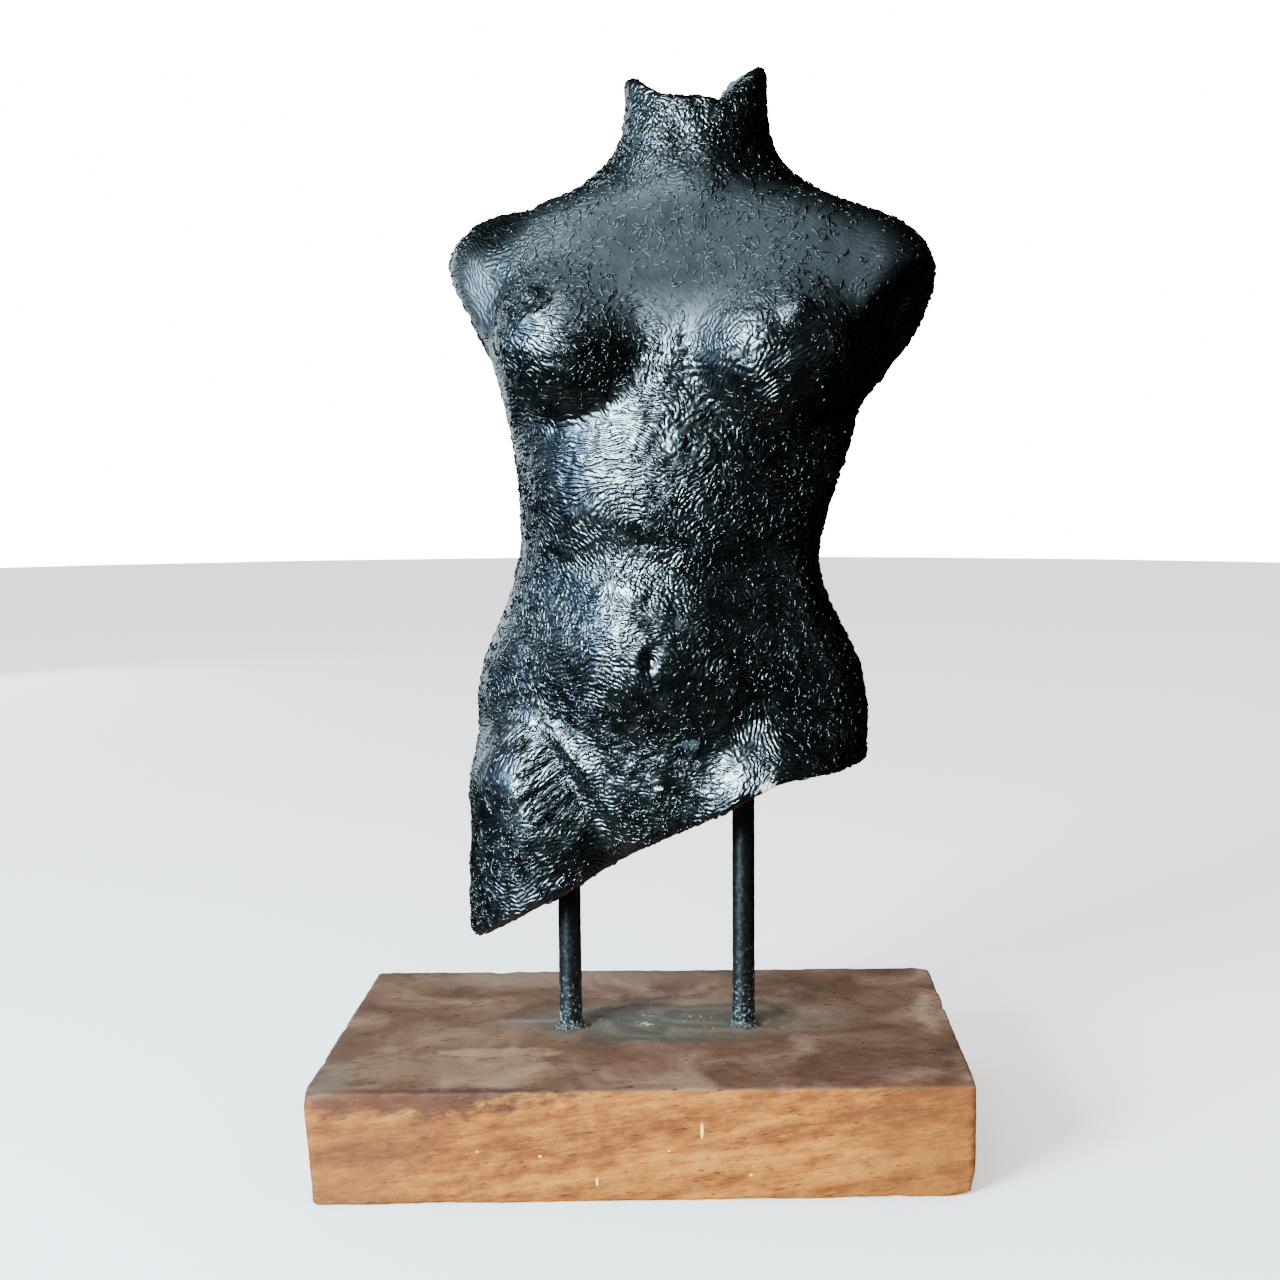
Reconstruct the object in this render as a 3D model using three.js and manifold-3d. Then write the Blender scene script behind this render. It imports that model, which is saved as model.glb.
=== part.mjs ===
// A headless, armless female torso in black-painted ceramic, held above a wooden plinth by two rods.
// Millimetres, +Z up, the front towards -Y. The origin is the middle of the plinth's underside.

import * as THREE from "three";
import { mergeVertices } from "three/addons/utils/BufferGeometryUtils.js";
import Module from "manifold-3d";

const wasm = await Module();
wasm.setup();

// Plinth
const plinthWidth = 254; // along X
const plinthDepth = 152; // along Y
const plinthHeight = 44;
const plinthCornerRadius = 3; // of the upright corners, seen from above
const plinthEdgeRadius = 1.8; // of the worn top and bottom edges
const plinthUndercut = 2.8; // how far the left end leans in at the floor

// Torso
const torsoHeight = 350; // from the lowest tip of the hip cut to the horns of the neck cut
const torsoGap = 37.6; // from the plinth's top up to that lowest tip
const torsoShift = 10; // the torso's own axis stands this far right of the plinth's middle
const torsoTurn = THREE.MathUtils.degToRad(-12); // the chest faces a little to the left

// Rods
const rodDiameter = 9.5;
const rodSpacing = 72; // between the rods' axes
const rodMiddleX = 3.7; // halfway between the rods
const rodMiddleY = -1.9;
const plinthSocketDepth = 25;
const torsoSocketDepth = 30;
const fitGap = 0.3; // between a rod and its socket, at the side and at the end

// Facets
const torsoColumns = 64;
const torsoRows = 68;
const rodSides = 24;
const arcSteps = 4; // along each rounded corner and edge of the plinth

const clamp = THREE.MathUtils.clamp;

// The torso is a field: negative inside it, zero on its skin. Its space is thousandths of the torso's
// height, with x to the figure's left hand, y to its back and z up from the lowest tip.

// About the distance from a point to an ellipsoid.
function ellipsoid(p, centre, radii) {
  const q = p.map((value, i) => (value - centre[i]) / radii[i]);
  const near = Math.hypot(...q);
  const slope = Math.hypot(...q.map((value, i) => value / radii[i])) + 1e-9;
  return (near * (near - 1)) / slope;
}

// The distance from a point to a limb: a round bar from a to b whose radius changes evenly.
function limb(p, a, b, radiusA, radiusB) {
  const along = b.map((value, i) => value - a[i]);
  const length2 = along.reduce((sum, value) => sum + value * value, 0);
  const share = clamp(along.reduce((sum, value, i) => sum + value * (p[i] - a[i]), 0) / length2, 0, 1);
  const offset = p.map((value, i) => value - a[i] - share * along[i]);
  return Math.hypot(...offset) - radiusA - share * (radiusB - radiusA);
}

// The union of two forms, flowing into each other over the width soft.
function join(d, other, soft) {
  const overlap = Math.max(soft - Math.abs(d - other), 0) / soft;
  return Math.min(d, other) - (overlap * overlap * soft) / 4;
}

// What is left of a form after another is taken away, with an edge rounded over the width soft.
function carve(d, tool, soft) {
  return -join(-d, tool, soft);
}

const chestX = 28; // the chest leans this far to the side of the hips
const neckX = 33;
const sides = [-1, 1];

function trunk(p) {
  const ribcage = ellipsoid(p, [12, 2, 645], [206, 108, 228]);
  const waist = ellipsoid(p, [-6, 6, 440], [172, 94, 190]);
  const pelvis = ellipsoid(p, [-4, 16, 272], [234, 112, 200]);
  const shoulders = limb(p, [chestX - 118, 20, 778], [chestX + 128, 20, 786], 56, 58);
  const upperChest = ellipsoid(p, [chestX, -20, 745], [150, 78, 120]);
  const flanks = join(join(ribcage, waist, 60), pelvis, 60);
  return join(join(flanks, shoulders, 64), upperChest, 40);
}

function addBelly(p, d) {
  for (const side of sides) {
    d = join(d, ellipsoid(p, [side * 58 - 2, -48, 520], [62, 58, 100]), 46);
  }
  d = join(d, ellipsoid(p, [-8, -42, 338], [104, 76, 104]), 60);
  return join(d, ellipsoid(p, [0, -30, 165], [130, 80, 130]), 46);
}

function addHips(p, d) {
  for (const side of sides) {
    const buttock = ellipsoid(p, [side * 96, 74, 205], [112, 86, 112]);
    const thigh = limb(p, [side * 126 - 4, 2, 175], [side * 142 - 4, -4, -60], 113, 97);
    d = join(join(d, buttock, 26), thigh, 22);
  }
  return d;
}

function addBack(p, d) {
  for (const side of sides) {
    const shoulderBlade = ellipsoid(p, [chestX + side * 100, 74, 712], [80, 46, 108]);
    const loin = limb(p, [side * 34, 74, 330], [chestX + side * 40, 84, 600], 34, 36);
    d = join(join(d, shoulderBlade, 56), loin, 50);
  }
  const spine = limb(p, [0, 135, 310], [chestX, 143, 780], 20, 20);
  return carve(d, spine, 34);
}

function addNeck(p, d) {
  d = join(d, limb(p, [20, 24, 820], [46, 2, 1080], 99, 60), 56);
  for (const side of sides) {
    const thickness = side < 0 ? 1 : 0.9;
    const nape = [neckX + side * 6, 28, 876];
    const slope = limb(p, nape, [chestX + side * 176, 20, 800], 50 * thickness, 38 * thickness);
    const muscle = limb(p, [neckX + side * 56, -10, 985], [neckX + side * 16, -66, 858], 16, 14);
    const collarBone = limb(p, [neckX + side * 26, -64, 838], [chestX + side * 150, -32, 830], 12, 14);
    d = join(join(join(d, slope, 52), muscle, 34), collarBone, 46);
  }
  return d;
}

// Each arm ends in a slanted break, scooped out a little: a point on the break, its outward
// direction and the middle of the scoop.
const armStumps = [
  {
    side: -1,
    shoulder: [chestX - 216, 14, 765],
    end: [chestX - 224, 2, 680],
    radii: [79, 66],
    breakPoint: [-270, 0, 778],
    breakFaces: [-0.8, -0.3, -0.5],
    scoop: [-272, 4, 734],
  },
  {
    side: 1,
    shoulder: [chestX + 204, 14, 762],
    end: [chestX + 226, 2, 680],
    radii: [73, 66],
    breakPoint: [300, 0, 778],
    breakFaces: [0.74, -0.38, -0.56],
    scoop: [300, -14, 726],
  },
];

function armStump(p, arm) {
  const upperArm = limb(p, arm.shoulder, arm.end, arm.radii[0], arm.radii[1]);
  const root = limb(p, [chestX + arm.side * 90, 18, 766], arm.shoulder, 52, 62);
  const faces = new THREE.Vector3(...arm.breakFaces).normalize();
  const beyond = faces.dot(new THREE.Vector3(...p).sub(new THREE.Vector3(...arm.breakPoint)));
  const broken = carve(join(upperArm, root, 20), -beyond, 12);
  return carve(broken, ellipsoid(p, arm.scoop, [44, 34, 50]), 14);
}

function addArms(p, d) {
  for (const arm of armStumps) {
    d = join(d, armStump(p, arm), 38);
  }
  return d;
}

const breastForms = [
  { side: -1, centre: [-92, -68, 700], nipple: [-118, -136, 736] },
  { side: 1, centre: [138, -66, 698], nipple: [170, -128, 720] },
];

function addBreasts(p, d) {
  for (const breast of breastForms) {
    const [x, y, z] = breast.centre;
    const slope = ellipsoid(p, [x - breast.side * 4, y + 22, z + 52], [82, 50, 82]);
    const cup = ellipsoid(p, breast.centre, [90, 78, 88]);
    const nipple = ellipsoid(p, breast.nipple, [20, 15, 20]);
    d = join(join(join(d, slope, 56), cup, 26), nipple, 20);
  }
  return d;
}

function carveHollows(p, d) {
  const midline = limb(p, [-4, -135, 390], [8, -139, 620], 12, 12);
  const navel = ellipsoid(p, [-6, -122, 318], [11, 12, 15]);
  const rightGroin = limb(p, [-166, -104, 304], [-14, -124, 122], 7, 10);
  const leftGroin = limb(p, [178, -100, 296], [96, -124, 160], 7, 9);
  d = carve(carve(d, midline, 36), navel, 10);
  return carve(carve(d, rightGroin, 13), leftGroin, 13);
}

const hump = (x, middle, width) => Math.exp(-(((x - middle) / width) ** 2));

// The neck ends in a saddle: low in front, with a horn at each side that rises towards the back.
function neckCutHeight(x, y) {
  const turn = THREE.MathUtils.degToRad(18);
  const across = (x - neckX) * Math.cos(turn) + y * Math.sin(turn);
  const back = y * Math.cos(turn) - (x - neckX) * Math.sin(turn);
  return 957 + 70 * Math.abs(across / 77) ** 3 + 0.14 * back * clamp(across / 60, 0, 1);
}

// The hips end in a slanting cut, long on the figure's right thigh and high on its left.
function hipCutHeight(x) {
  const slant = 130 + 0.484 * x - 0.00046 * x * x;
  return slant + 13 * hump(x, 150, 55) - 6 * hump(x, -100, 60) + 9 * hump(x, -262, 30);
}

function wholeBody(p) {
  const seated = addHips(p, addBelly(p, trunk(p)));
  const upper = addArms(p, addNeck(p, addBack(p, seated)));
  return carveHollows(p, addBreasts(p, upper));
}

function torsoField(p) {
  const aboveHips = carve(wholeBody(p), (p[2] - hipCutHeight(p[0])) * 0.9, 7);
  return carve(aboveHips, (neckCutHeight(p[0], p[1]) - p[2]) * 0.8, 8);
}

// The value at t of a line through [position, value] stops.
function between(stops, t) {
  let i = 0;
  while (i < stops.length - 2 && t > stops[i + 1][0]) i += 1;
  const [start, from] = stops[i];
  const [end, to] = stops[i + 1];
  return from + (to - from) * clamp((t - start) / (end - start), 0, 1);
}

// Halves the stretch from one value to another until it is tiny, keeping the change of test inside it.
function bisect(from, to, test) {
  let kept = from;
  let passed = to;
  for (let i = 0; i < 24; i += 1) {
    const middle = (kept + passed) / 2;
    if (test(middle)) kept = middle;
    else passed = middle;
  }
  return kept;
}

// The skin is found along rays that leave an axis inside the body. From row to row their foot climbs
// the axis while they swing from straight down, past level, to straight up.
const axisX = [[350, 0], [650, 24], [880, neckX]];
const axisY = [[650, 0], [880, 8]];
const hipFoot = 300;
const chestFoot = 640;
const neckFoot = 885;
const rayReach = 480;
const columnGather = -0.06;
const rayFoot = [[0.28, hipFoot], [0.52, chestFoot], [0.72, chestFoot], [0.84, neckFoot]];

function footAt(height) {
  return [between(axisX, height), between(axisY, height), height];
}

// Where the ray from the axis at one height, with one angle and tilt, leaves a field.
function leave(field, height, angle, tilt) {
  const foot = footAt(height);
  const rise = THREE.MathUtils.degToRad(tilt);
  const ray = [Math.cos(rise) * Math.cos(angle), Math.cos(rise) * Math.sin(angle), Math.sin(rise)];
  const at = (distance) => foot.map((value, i) => value + distance * ray[i]);
  return at(bisect(0, rayReach, (distance) => field(at(distance)) < 0));
}

// A row of points follows the rim of each cut, so that the rims stay crisp.
function columnTilts(angle) {
  const isBelow = ([x, , z]) => z < hipCutHeight(x);
  const isAbove = ([x, y, z]) => z > neckCutHeight(x, y);
  const hipRim = bisect(-88, 0, (tilt) => isBelow(leave(wholeBody, hipFoot, angle, tilt)));
  const neckRim = bisect(86, 12, (tilt) => isAbove(leave(wholeBody, neckFoot, angle, tilt)));
  return [[0, -90], [0.1, hipRim], [0.28, 0], [0.52, 0], [0.72, 47], [0.84, 12], [0.94, neckRim], [1, 90]];
}

const unit = torsoHeight / 1000;

function torsoSkin() {
  const columns = Array.from({ length: torsoColumns }, (_, column) => {
    // Columns gather a little at the sides, where the arms reach far out.
    const turn = (column / torsoColumns) * 2 * Math.PI;
    const angle = turn - columnGather * Math.sin(2 * turn);
    return { angle, tilts: columnTilts(angle) };
  });
  const place = (row, { angle, tilts }) => {
    const share = row / torsoRows;
    const point = leave(torsoField, between(rayFoot, share), angle, between(tilts, share));
    return point.map((value) => value * unit);
  };
  const rings = [];
  for (let row = 1; row < torsoRows; row += 1) {
    rings.push(columns.map((column) => place(row, column)));
  }
  return ringsToGeometry(place(0, columns[0]), rings, place(torsoRows, columns[0]));
}

// Rings of points, each a list of [x, y, z], closed by a point at either end.
function ringsToGeometry(firstPoint, rings, lastPoint) {
  const count = rings[0].length;
  const positions = [firstPoint, ...rings.flat(), lastPoint].flat();
  const last = rings.length * count + 1;
  const faces = [];
  for (let column = 0; column < count; column += 1) {
    const next = (column + 1) % count;
    faces.push(0, 1 + next, 1 + column);
    for (let row = 0; row < rings.length - 1; row += 1) {
      const lower = 1 + row * count;
      const upper = lower + count;
      faces.push(lower + column, lower + next, upper + next);
      faces.push(lower + column, upper + next, upper + column);
    }
    faces.push(last, last - count + column, last - count + next);
  }
  const geometry = new THREE.BufferGeometry();
  geometry.setAttribute("position", new THREE.Float32BufferAttribute(positions, 3));
  geometry.setIndex(faces);
  return geometry;
}

// A rectangle with rounded corners, as points, drawn in by inset on every side.
function roundedRectangle(width, depth, cornerRadius, inset) {
  const corners = [[1, 1, 0], [-1, 1, 1], [-1, -1, 2], [1, -1, 3]];
  const radius = Math.max(cornerRadius - inset, 0.1);
  const points = [];
  for (const [signX, signY, quarter] of corners) {
    for (let i = 0; i <= arcSteps; i += 1) {
      const angle = ((quarter + i / arcSteps) * Math.PI) / 2;
      const x = signX * (width / 2 - inset - radius) + radius * Math.cos(angle);
      const y = signY * (depth / 2 - inset - radius) + radius * Math.sin(angle);
      points.push([x, y]);
    }
  }
  return points;
}

function plinthBlock() {
  // Each level is a height and how far the outline is drawn in there.
  const levels = [];
  for (let i = 0; i <= arcSteps; i += 1) {
    const angle = ((i / arcSteps) * Math.PI) / 2;
    levels.push([plinthEdgeRadius * (1 - Math.sin(angle)), plinthEdgeRadius * (1 - Math.cos(angle))]);
  }
  levels.reverse();
  levels.push(...levels.map(([height, inset]) => [plinthHeight - height, inset]).reverse());
  const lean = (x, height) => x + (x < 0 ? plinthUndercut * (1 - height / plinthHeight) : 0);
  const rings = levels.map(([height, inset]) =>
    roundedRectangle(plinthWidth, plinthDepth, plinthCornerRadius, inset)
      .map(([x, y]) => [lean(x, height), y, height]));
  return ringsToGeometry([0, 0, 0], rings, [0, 0, plinthHeight]);
}

// An upright cylinder between two heights.
function uprightBar(diameter, bottom, top) {
  const bar = new THREE.CylinderGeometry(diameter / 2, diameter / 2, top - bottom, rodSides);
  return bar.rotateX(Math.PI / 2).translate(0, 0, (bottom + top) / 2);
}

function toSolid(geometry) {
  const bare = geometry.clone();
  bare.deleteAttribute("normal");
  bare.deleteAttribute("uv");
  const merged = mergeVertices(bare, 1e-5);
  const vertProperties = new Float32Array(merged.attributes.position.array);
  const triVerts = new Uint32Array(merged.index.array);
  return new wasm.Manifold(new wasm.Mesh({ numProp: 3, vertProperties, triVerts }));
}

function toGeometry(solid) {
  const mesh = solid.getMesh();
  const geometry = new THREE.BufferGeometry();
  geometry.setAttribute("position", new THREE.BufferAttribute(mesh.vertProperties, 3));
  geometry.setIndex(new THREE.BufferAttribute(mesh.triVerts, 1));
  geometry.computeVertexNormals();
  return geometry;
}

function subtractAll(block, tools) {
  const cut = tools.reduce((solid, tool) => solid.subtract(toSolid(tool)), toSolid(block));
  return toGeometry(cut);
}

// Where the rods stand, and how high the torso's underside is above each of them.
const torsoBottom = plinthHeight + torsoGap;

function toTorsoSpace(x, y) {
  return new THREE.Vector2(x - torsoShift, y).rotateAround(new THREE.Vector2(), -torsoTurn);
}

function undersideHeight(x, y) {
  const local = toTorsoSpace(x, y).divideScalar(unit);
  return torsoBottom + hipCutHeight(local.x) * unit;
}

const rods = [["left", -1], ["right", 1]].map(([name, side]) => {
  const x = rodMiddleX + (side * rodSpacing) / 2;
  const y = rodMiddleY;
  const bottom = plinthHeight - plinthSocketDepth;
  const top = undersideHeight(x, y) + torsoSocketDepth;
  return { name, x, y, bottom, top };
});

const socketDiameter = rodDiameter + 2 * fitGap;

function plinthGeometry() {
  const sockets = rods.map(({ x, y, bottom }) =>
    uprightBar(socketDiameter, bottom - fitGap, plinthHeight + fitGap).translate(x, y, 0));
  return subtractAll(plinthBlock(), sockets);
}

function torsoGeometry() {
  const sockets = rods.map(({ x, y, top }) => {
    const local = toTorsoSpace(x, y);
    const socketTop = top + fitGap - torsoBottom;
    return uprightBar(socketDiameter, -plinthHeight, socketTop).translate(local.x, local.y, 0);
  });
  return subtractAll(torsoSkin(), sockets);
}

const blackPaint = new THREE.MeshStandardMaterial({ color: 0x23272b, roughness: 0.38, metalness: 0 });
const rodPaint = new THREE.MeshStandardMaterial({ color: 0x2a2b2e, roughness: 0.5, metalness: 0.4 });
const oiledWood = new THREE.MeshStandardMaterial({ color: 0x7a5240, roughness: 0.7, metalness: 0 });

const sculpture = new THREE.Group();

function addPiece(name, geometry, material) {
  const piece = new THREE.Mesh(geometry, material);
  piece.name = name;
  sculpture.add(piece);
  return piece;
}

addPiece("plinth", plinthGeometry(), oiledWood);

for (const { name, x, y, bottom, top } of rods) {
  const rod = addPiece(`support_rod_${name}`, uprightBar(rodDiameter, bottom, top), rodPaint);
  rod.position.set(x, y, 0);
}

const torso = addPiece("torso", torsoGeometry(), blackPaint);
torso.position.set(torsoShift, 0, torsoBottom);
torso.rotation.z = torsoTurn;

export default sculpture;
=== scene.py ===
# %% [markdown]
# # A ceramic torso on two rods
# The sculpture is one hollow-built ceramic body under a thick skin of glossy black paint. Two painted
# steel rods hold it above a worn block of hardwood. Its form is kept as a formula: soft-edged unions of
# ellipsoids and tapering limbs, whose skin is found with numpy and then given a fine relief.

import bpy
import numpy as np
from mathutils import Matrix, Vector


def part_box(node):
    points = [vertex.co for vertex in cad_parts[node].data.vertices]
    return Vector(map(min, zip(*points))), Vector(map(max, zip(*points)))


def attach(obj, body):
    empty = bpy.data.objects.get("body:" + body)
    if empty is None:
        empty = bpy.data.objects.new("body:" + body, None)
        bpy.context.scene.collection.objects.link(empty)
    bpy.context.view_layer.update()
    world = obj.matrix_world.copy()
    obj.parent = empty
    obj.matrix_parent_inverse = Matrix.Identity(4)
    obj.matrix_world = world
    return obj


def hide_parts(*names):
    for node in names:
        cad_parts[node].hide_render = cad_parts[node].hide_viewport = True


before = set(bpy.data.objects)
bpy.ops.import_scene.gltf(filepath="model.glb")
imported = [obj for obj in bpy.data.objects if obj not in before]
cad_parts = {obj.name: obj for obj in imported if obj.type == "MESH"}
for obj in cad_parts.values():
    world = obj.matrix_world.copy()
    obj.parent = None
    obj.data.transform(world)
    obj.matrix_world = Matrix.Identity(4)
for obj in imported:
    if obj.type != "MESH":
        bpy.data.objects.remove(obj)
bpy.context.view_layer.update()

# %% [markdown]
# Shapes are worked out in millimetres, because a maker measures in them, and Blender's own unit is the
# metre. Each box below is a pair of corners, lowest and highest, in millimetres.

# %% Real sizes, read from the fixed model
MM = 0.001


def node_box(name):
    """The lowest and highest corner of one solid of the fixed model, in millimetres."""
    low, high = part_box(name)
    return np.array(low) / MM, np.array(high) / MM


plinth_low, plinth_high = node_box("plinth")
torso_low, torso_high = node_box("torso")
ROD_SIDES = ("left", "right")
rod_boxes = {side: node_box(f"support_rod_{side}") for side in ROD_SIDES}
rod_axes = {side: (low[:2] + high[:2]) / 2 for side, (low, high) in rod_boxes.items()}
rod_radius = (rod_boxes["left"][1][0] - rod_boxes["left"][0][0]) / 2
plinth_top = plinth_high[2]
print("Rods of radius", round(float(rod_radius), 2), "mm stand at", rod_axes)

# %% [markdown]
# The camera comes first, so that every later choice can be judged in the view that matters. Its place
# was worked out from the four visible corners of the plinth's top and the lower corners of its front.
# The picture was cut out of a wider one, so the lens axis doesn't meet its middle: the shift says so.

# %% Camera at the photograph's place
PHOTO_SIZE = 1280
FOCAL_PIXELS = 1726
AXIS_PIXEL = 769  # the picture column that the lens axis meets
CAMERA_PLACE = (27.3, -702.5, 281.4)
CAMERA_PITCH = -6.19
CAMERA_YAW = -1.88

camera = bpy.data.objects.new("camera", bpy.data.cameras.new("camera"))
bpy.context.collection.objects.link(camera)
camera.data.lens = camera.data.sensor_width * FOCAL_PIXELS / PHOTO_SIZE
camera.data.shift_x = (PHOTO_SIZE / 2 - AXIS_PIXEL) / PHOTO_SIZE
camera.location = np.array(CAMERA_PLACE) * MM
camera.rotation_euler = np.radians((90 + CAMERA_PITCH, 0, CAMERA_YAW))
bpy.context.scene.camera = camera
print("Lens", round(camera.data.lens, 2), "mm, shift", round(camera.data.shift_x, 4))

# %% [markdown]
# Colours are noted as sRGB hex, as a picture editor shows them, but Blender computes in linear light.
# One function turns the first into the second. Another adds a shader node with its settings and links,
# which keeps each material down to the few lines that say what it is.

# %% Helpers for colour and shader nodes
def linear(hex_colour):
    """An sRGB hex colour as linear RGBA: each channel c becomes ((c + 0.055) / 1.055) to the power 2.4."""
    channels = np.array([int(hex_colour[i:i + 2], 16) for i in (1, 3, 5)]) / 255
    light = np.where(channels <= 0.04045, channels / 12.92, ((channels + 0.055) / 1.055) ** 2.4)
    return (*light.tolist(), 1.0)


def add(tree, kind, inputs=(), stops=(), **settings):
    """Adds a node, sets its properties and colour stops, and fills its inputs with values or links."""
    node = tree.nodes.new("ShaderNode" + kind)
    for name, value in settings.items():
        setattr(node, name, value)
    for socket, value in dict(inputs).items():
        if isinstance(value, bpy.types.Node):
            value = next(output for output in value.outputs if output.enabled)
        if isinstance(value, bpy.types.NodeSocket):
            tree.links.new(value, node.inputs[socket])
        else:
            node.inputs[socket].default_value = value
    while stops and len(node.color_ramp.elements) < len(stops):
        node.color_ramp.elements.new(1.0)
    for number, (position, colour) in enumerate(stops):
        node.color_ramp.elements[number].position = position
        node.color_ramp.elements[number].color = linear(colour)
    return node


def new_tree(name):
    """A new material and its empty node tree."""
    material = bpy.data.materials.new(name)
    material.use_nodes = True
    material.node_tree.nodes.clear()
    return material, material.node_tree


def per(size_mm):
    """The texture scale that gives features of a real size, as coordinates are in metres."""
    return 1 / (size_mm * MM)


def reach_of(tree, place, centre, half):
    """The distance from a centre in half sizes: 1 on the rim of the ellipsoid."""
    offset = add(tree, "VectorMath", {0: place, 1: Vector(centre) * MM}, operation="SUBTRACT")
    shares = add(tree, "VectorMath", {0: offset, 1: Vector(half) * MM}, operation="DIVIDE")
    return add(tree, "VectorMath", {0: shares}, operation="LENGTH").outputs["Value"]


def lay_mark(tree, colour, reach, rim, strength, tone, **settings):
    """A tone laid over the colour: at full strength where the reach is below the rim, fading over it."""
    amount = add(tree, "MapRange", {
        "Value": reach, "From Min": rim[0], "From Max": rim[1],
        "To Min": strength, "To Max": 0.0}, **settings)
    return add(tree, "Mix", {0: amount, 6: colour, 7: linear(tone)}, data_type="RGBA")


print("Linear mid grey is", round(linear("#808080")[0], 3))

# %% [markdown]
# Every new piece is a grid of points: rows and columns that two parameters sweep over. One function
# turns such a grid into a closed, smooth mesh. Columns meet round the back, and each end row is closed
# by one point, so that no pole is left open.

# %% Helpers for meshes
def grid_faces(rows, columns, start=0):
    """The quads of a grid that is closed round its columns, as point numbers from start."""
    row, column = np.meshgrid(np.arange(rows - 1), np.arange(columns), indexing="ij")
    following = (column + 1) % columns
    corners = (row * columns + column, row * columns + following,
               (row + 1) * columns + following, (row + 1) * columns + column)
    return start + np.stack(corners, -1).reshape(-1, 4)


def closed_surface(first_point, rings, last_point):
    """Points, quads and end triangles of a tube of rings closed by a point at either end."""
    rows, columns = rings.shape[:2]
    points = np.concatenate([[first_point], rings.reshape(-1, 3), [last_point]])
    column = np.arange(columns)
    following = (column + 1) % columns
    first_fan = np.stack([np.zeros_like(column), following + 1, column + 1], -1)
    base = 1 + (rows - 1) * columns
    last_fan = np.stack([np.full_like(column, len(points) - 1), base + column, base + following], -1)
    return points, grid_faces(rows, columns, 1), np.concatenate([first_fan, last_fan])


def make_piece(name, points, quads, triangles, material):
    """Makes a smooth mesh object from points in millimetres, and lets it ride on the one body."""
    mesh = bpy.data.meshes.new(name)
    mesh.from_pydata((points * MM).tolist(), [], quads.tolist() + triangles.tolist())
    mesh.polygons.foreach_set("use_smooth", np.full(len(mesh.polygons), True))
    mesh.materials.append(material)
    piece = bpy.data.objects.new(name, mesh)
    bpy.context.collection.objects.link(piece)
    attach(piece, "root")
    print(name, "has", 2 * len(quads) + len(triangles), "triangles")
    return piece


def ripple(points, wavelength, seed, waves=24):
    """Even-grained random waves: the sum of many cosines with about one wavelength, random directions
    and random phases, divided so that its spread is about one."""
    random = np.random.default_rng(seed)
    directions = random.normal(size=(waves, 3))
    directions /= np.linalg.norm(directions, axis=1, keepdims=True)
    lengths = wavelength * random.uniform(0.8, 1.25, waves)
    phases = random.uniform(0, 2 * np.pi, waves)
    total = np.zeros(points.shape[:-1])
    for direction, length, phase in zip(directions, lengths, phases):
        total += np.cos(points @ direction * (2 * np.pi / length) + phase)
    return total * np.sqrt(2 / waves)


# %% [markdown]
# The black skin is household gloss paint, brushed thickly over rough modelled clay. It wrinkled as it
# dried: ridges just under two millimetres apart run in flowing patches, broken by curled crumbs. A
# Gabor texture draws evenly spaced ridges, and slow noise turns their direction, so that they flow as a
# brush does. The colour is nearly black, and a little dust greys it in patches. Some places dried matt
# or smooth, and a chip, a fleck and a few dabs are soft ellipsoids in the torso's own space.

# %% Black gloss paint over clay
RIDGE_SPACING = 1.8
RIDGE_PATCH = 5.8  # ridges keep their direction over about this width
RIDGE_WANDER = 4.0 * MM  # noise pushes them sideways by up to this much
RIDGE_DEPTH = 0.45 * MM
# centre and half sizes in millimetres, the colour, how strong it is, and how ragged its rim is
PAINT_MARKS = (
    ((49.5, -44, 151.5), (5.0, 12, 3.0), "#b98f84", 1.0, 0.9),
    ((5.8, -38, 150.6), (2.2, 12, 0.7), "#b5b9a8", 1.0, 0.15),
    ((18.4, -40, 168.4), (4.2, 12, 2.2), "#2a3234", 0.8, 0.7),
    ((14.0, -42, 216.8), (1.4, 4, 3.6), "#232a2c", 0.7, 0.6),
    ((38, 9, 428), (11, 16, 6), "#4a4d48", 0.85, 0.8),
)
# centre and half sizes, in millimetres, of places that dried differently: how matt, and how smooth
MATT_PLACES = (
    ((12, -38, 360), (64, 50, 30), 1.0, 0.45),
    ((62, -36, 354), (36, 40, 24), 0.9, 0.45),
    ((-68, -16, 342), (14, 26, 22), 0.35, 0.3),
    ((0, -42, 160), (36, 30, 28), 0.0, 0.55),
    ((-54, -24, 132), (24, 30, 30), 0.0, 0.55),
)


def flowing_ridges(tree, place):
    """Evenly spaced ridges from 0 to 1. Slow noise turns them, and quicker noise pushes them about."""
    flow = add(tree, "TexNoise", {"Vector": place, "Scale": per(38), "Detail": 1.0}).outputs["Color"]
    heading = add(tree, "VectorMath", {0: flow, 1: (0.5, 0.5, 0.5)}, operation="SUBTRACT")
    patches = add(tree, "TexNoise", {"Vector": place, "Scale": per(55), "Detail": 1.0})
    combed = add(tree, "MapRange", {
        "Value": patches, "From Min": 0.4, "From Max": 0.6, "To Min": 0.3, "To Max": 0.9})
    wander = add(tree, "TexNoise", {"Vector": place, "Scale": per(6.5), "Detail": 2.0}).outputs["Color"]
    push = (RIDGE_WANDER,) * 3
    wander = add(tree, "VectorMath", {0: wander, 1: push, 2: place}, operation="MULTIPLY_ADD")
    stripes = add(tree, "TexGabor", {
        "Vector": wander, "Scale": per(RIDGE_PATCH), "Frequency": RIDGE_PATCH / RIDGE_SPACING,
        "Anisotropy": combed, "Orientation 3D": heading}, gabor_type="3D")
    return add(tree, "MapRange", {
        "Value": stripes, "From Min": 0.14, "From Max": 0.68}, interpolation_type="SMOOTHSTEP")


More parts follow.
